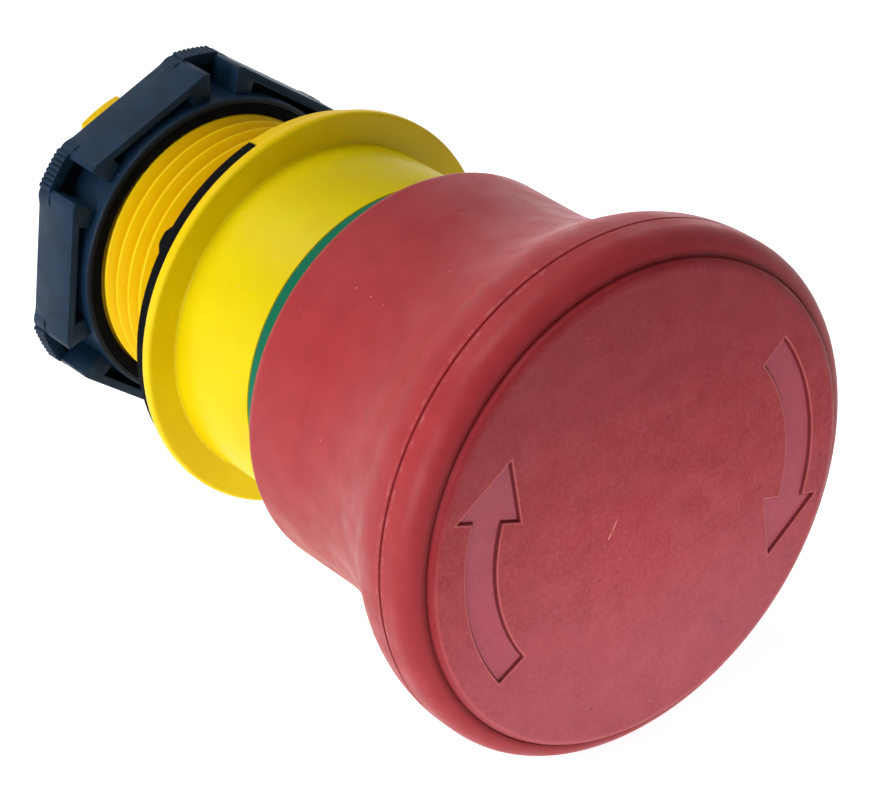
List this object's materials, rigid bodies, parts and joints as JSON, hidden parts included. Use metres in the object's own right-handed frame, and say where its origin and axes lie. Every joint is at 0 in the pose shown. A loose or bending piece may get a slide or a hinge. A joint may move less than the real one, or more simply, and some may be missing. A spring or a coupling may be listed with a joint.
{
  "type": "emergency stop button",
  "caption": "Panel emergency stop button: red mushroom head with twist-to-release arrows, green indicator ring, yellow flanged barrel and black knurled nut.",
  "frame": {"origin": "centre of the panel seat: the rear face of the flange gasket, on the barrel's axis", "axes": "-Y out of the face towards the user, +Y through the panel, +Z towards 12 o'clock, +X to the user's right"},
  "size_m": [0.04, 0.061, 0.04],
  "materials": {
    "yellow_polyamide": "satin moulded polyamide",
    "green_plastic": "satin moulded",
    "red_plastic": "satin moulded",
    "red_face": "matt, finely eroded",
    "black_rubber": "matt",
    "black_polyamide": "glass filled polyamide, semi-gloss",
    "white_acetal": "natural acetal",
    "grey_acetal": "grey acetal",
    "spring_steel": "drawn, bright",
    "zinc_steel": "zinc plated"
  },
  "bodies": {
    "housing": {"housing": "yellow_polyamide", "indicator_ring": "green_plastic", "flange_gasket": "black_rubber", "wiper_seal": "black_rubber", "latch_cage": "grey_acetal", "latch_spring": "spring_steel", "guide_bush": "white_acetal", "retaining_ring": "spring_steel", "return_spring": "spring_steel"},
    "plunger": {"plunger": "white_acetal", "spring_plate": "spring_steel", "pusher_foot": "red_plastic", "stop_pin": "spring_steel", "cap_screw": "zinc_steel", "screw_washer": "zinc_steel"},
    "head": {"cap_skirt": "red_plastic", "cap_front": "red_plastic", "face_disc": "red_face", "face_seal": "black_rubber", "release_hub": "white_acetal", "hub_screws": "zinc_steel", "torsion_spring": "spring_steel"},
    "thrust_ring": {"thrust_ring": "black_rubber"},
    "nut": {"mounting_nut": "black_polyamide"}
  },
  "joints": [
    {"name": "push", "type": "slide", "parent": "housing", "child": "plunger", "axis": [0, 1, 0], "range_m": [0, 0.0045], "stiffness_N_per_m": 2000, "springref_m": -0.004, "deforming": ["return_spring", "latch_spring"]},
    {"name": "twist", "type": "hinge", "parent": "plunger", "child": "head", "pos_m": [0, 0, 0], "axis": [0, 1, 0], "range_deg": [0, 45], "stiffness_Nm_per_rad": 0.08, "springref_deg": -14.32, "deforming": ["torsion_spring"]},
    {"name": "nut_travel", "type": "slide", "parent": "housing", "child": "thrust_ring", "axis": [0, -1, 0], "range_m": [-0.011, 0.0075]},
    {"name": "nut_turn", "type": "hinge", "parent": "thrust_ring", "child": "nut", "pos_m": [0, 0.0135, 0], "axis": [0, -1, 0], "range_deg": [-2640, 1800]}
  ],
  "couplings": [
    {"joint": "nut_travel", "follows": "nut_turn", "m_per_rad": 0.00023873}
  ]
}
